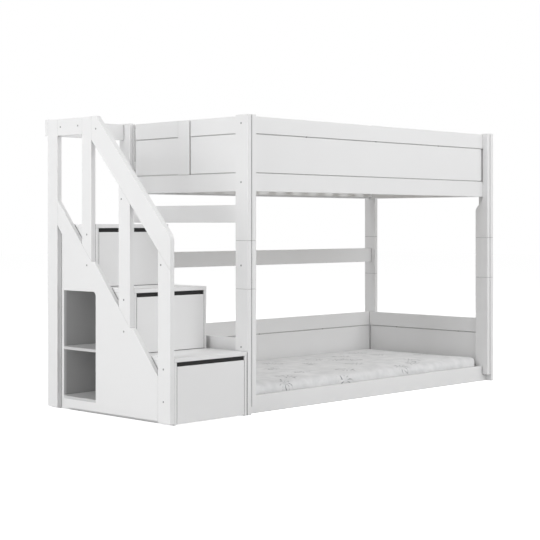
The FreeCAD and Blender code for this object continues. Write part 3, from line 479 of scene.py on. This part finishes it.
def mattress():
    """The soft mattress: a crowned, rounded pad swollen between the seams of its border."""
    pad = bpy.data.objects.new("mattress", nodes["lower_mattress"].data.copy())
    scene.collection.objects.link(pad)
    shrink(pad.data, MATTRESS_LOW, MATTRESS_HIGH, PAD_INSET)
    even_mesh(pad, PAD_VOXEL)
    inflate(pad)
    refine = pad.modifiers.new("Fine", "SUBSURF")
    refine.levels = 1
    refine.render_levels = 1
    apply_modifiers(pad)
    dress(pad.data)
    pad.data.update()
    pad.data.materials.clear()
    pad.data.materials.append(materials["mattress_cover"])
    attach(pad, "bed_frame")
    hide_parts("lower_mattress")


mattress()


# Studio --------------------------------------------------------------------------------------

PHOTO_PIXELS = 540
FOCAL_PIXELS = 1348.07
HORIZON_ROW = 223.4
CAMERA_PLACE = (-5.5872, -5.3306, 0.9679)
CAMERA_HEADING = math.radians(44.31)
CAMERA_CLIP_END = 60
SENSOR_WIDTH = 36.0


def camera():
    """The photograph's camera: level, aimed along the bed's diagonal, shifted down."""
    data = bpy.data.cameras.new("camera")
    data.sensor_width = SENSOR_WIDTH
    data.lens = SENSOR_WIDTH * FOCAL_PIXELS / PHOTO_PIXELS
    data.shift_y = (HORIZON_ROW - PHOTO_PIXELS / 2) / PHOTO_PIXELS
    data.clip_end = CAMERA_CLIP_END
    thing = bpy.data.objects.new("camera", data)
    thing.location = CAMERA_PLACE
    thing.rotation_euler = (math.pi / 2, 0, CAMERA_HEADING - math.pi / 2)
    scene.collection.objects.link(thing)
    scene.camera = thing


WHITE = (1, 1, 1, 1)
FLOOR_COLOUR = (0.66, 0.66, 0.66)
FLOOR_VARIATION = 0.01
FLOOR_LIFT = 0.84
FLOOR_HALF = 30.0
WORLD_LIGHT = 0.23
LAMP_DISTANCE = 7.0
LAMP_SIZE = 4.0
LAMP_AIM = (0.0, 0.0, 0.6)
# azimuth (0 is in front of the bed, 90 on the stairs' side), elevation, watts
LAMPS = {
    "left_low": (90, 10, 142),
    "left_high": (90, 35, 132),
    "front_low": (0, 8, 32),
    "front_high": (0, 34, 184),
    "right_front": (-45, 30, 92),
    "rear": (180, 35, 95),
    "right_rear": (-115, 35, 40),
}


def seen_directly(tree):
    """1 for camera, glossy and transmission rays, 0 for the rays that carry diffuse light."""
    path = tree.nodes.new("ShaderNodeLightPath")
    value = path.outputs["Is Camera Ray"]
    for output in ("Is Glossy Ray", "Is Transmission Ray"):
        either = tree.nodes.new("ShaderNodeMath")
        either.operation = "MAXIMUM"
        tree.links.new(value, either.inputs[0])
        tree.links.new(path.outputs[output], either.inputs[1])
        value = either.outputs[0]
    return value


def floor():
    """A plain pale studio floor that shows white where no shadow falls."""
    mesh = bpy.data.meshes.new("floor")
    half = FLOOR_HALF
    corners = [(-half, -half, 0), (half, -half, 0), (half, half, 0), (-half, half, 0)]
    mesh.from_pydata(corners, [], [(0, 1, 2, 3)])
    thing = bpy.data.objects.new("floor", mesh)
    scene.collection.objects.link(thing)
    shader = Shader("floor")
    tone = shader.noise(0.6, 1.0)
    lighter = tuple(value + FLOOR_VARIATION for value in FLOOR_COLOUR)
    shader.paint(shader.blend(tone, "Fac", FLOOR_COLOUR, lighter))
    shader.set(Roughness=0.9, Specular_IOR_Level=0.0, Emission_Color=WHITE)
    lift = shader.add("ShaderNodeMath", operation="MULTIPLY")
    shader.tree.links.new(seen_directly(shader.tree), lift.inputs[0])
    lift.inputs[1].default_value = FLOOR_LIFT
    shader.link(lift, "Value", shader.surface, "Emission Strength")
    mesh.materials.append(shader.material)


def lamp(name, azimuth, elevation, power):
    """A square soft light at an azimuth and elevation around the bed."""
    data = bpy.data.lights.new(name, "AREA")
    data.shape = "SQUARE"
    data.size = LAMP_SIZE
    data.energy = power
    thing = bpy.data.objects.new(name, data)
    azimuth = math.radians(azimuth)
    elevation = math.radians(elevation)
    level_reach = LAMP_DISTANCE * math.cos(elevation)
    away = Vector((-level_reach * math.sin(azimuth),
                   -level_reach * math.cos(azimuth),
                   LAMP_DISTANCE * math.sin(elevation)))
    thing.location = Vector(LAMP_AIM) + away
    thing.rotation_euler = (-away).to_track_quat("-Z", "Y").to_euler()
    scene.collection.objects.link(thing)


def world():
    """Even soft surroundings, white where they are seen directly."""
    surroundings = bpy.data.worlds.new("studio")
    surroundings.use_nodes = True
    tree = surroundings.node_tree
    background = tree.nodes["Background"]
    background.inputs["Color"].default_value = WHITE
    strength = tree.nodes.new("ShaderNodeMapRange")
    strength.inputs["To Min"].default_value = WORLD_LIGHT
    strength.inputs["To Max"].default_value = 1.0
    tree.links.new(seen_directly(tree), strength.inputs["Value"])
    tree.links.new(strength.outputs["Result"], background.inputs["Strength"])
    scene.world = surroundings


camera()
floor()
world()
for lamp_name, lamp_settings in LAMPS.items():
    lamp(lamp_name, *lamp_settings)
scene.view_settings.view_transform = "Standard"
